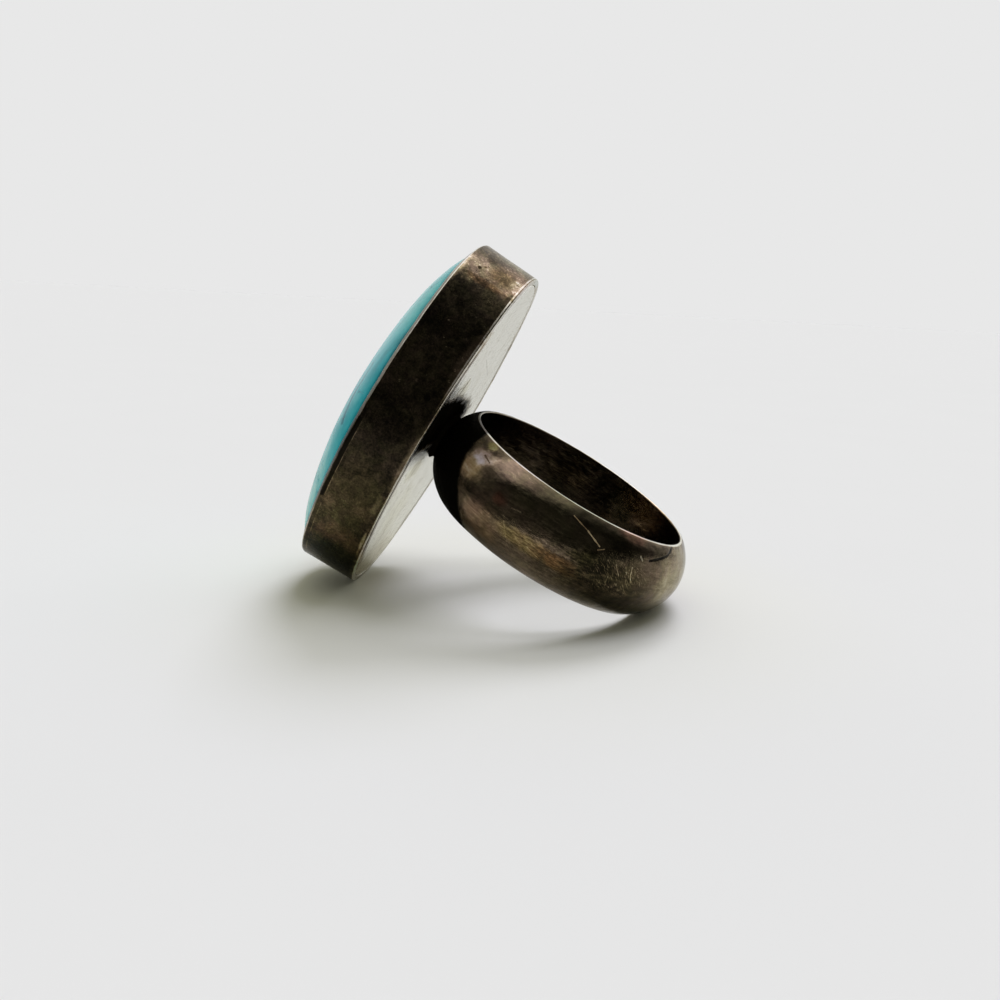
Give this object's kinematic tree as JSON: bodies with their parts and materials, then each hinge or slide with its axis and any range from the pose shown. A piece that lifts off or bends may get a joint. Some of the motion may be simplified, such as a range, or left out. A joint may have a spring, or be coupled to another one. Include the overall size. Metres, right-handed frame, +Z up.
{
  "type": "turquoise ring",
  "caption": "Finger ring with a long domed turquoise in a high plain silver bezel, soldered by its back plate to a half-round band.",
  "frame": {"origin": "on the surface that the ring lies on, under the middle of its bounding box", "axes": "+Z up, +Y across the stone's width and parallel to the surface, +X from the bezel's side towards the band's crown; the finger axis lies in the XZ plane and leans 28.4 degrees from +Z towards +X"},
  "size_m": [0.031, 0.0222, 0.0276],
  "materials": {
    "silver": "satin",
    "turquoise": "satin"
  },
  "bodies": {
    "root": {"silver_mount": "silver", "turquoise_stone": "turquoise"}
  },
  "joints": []
}
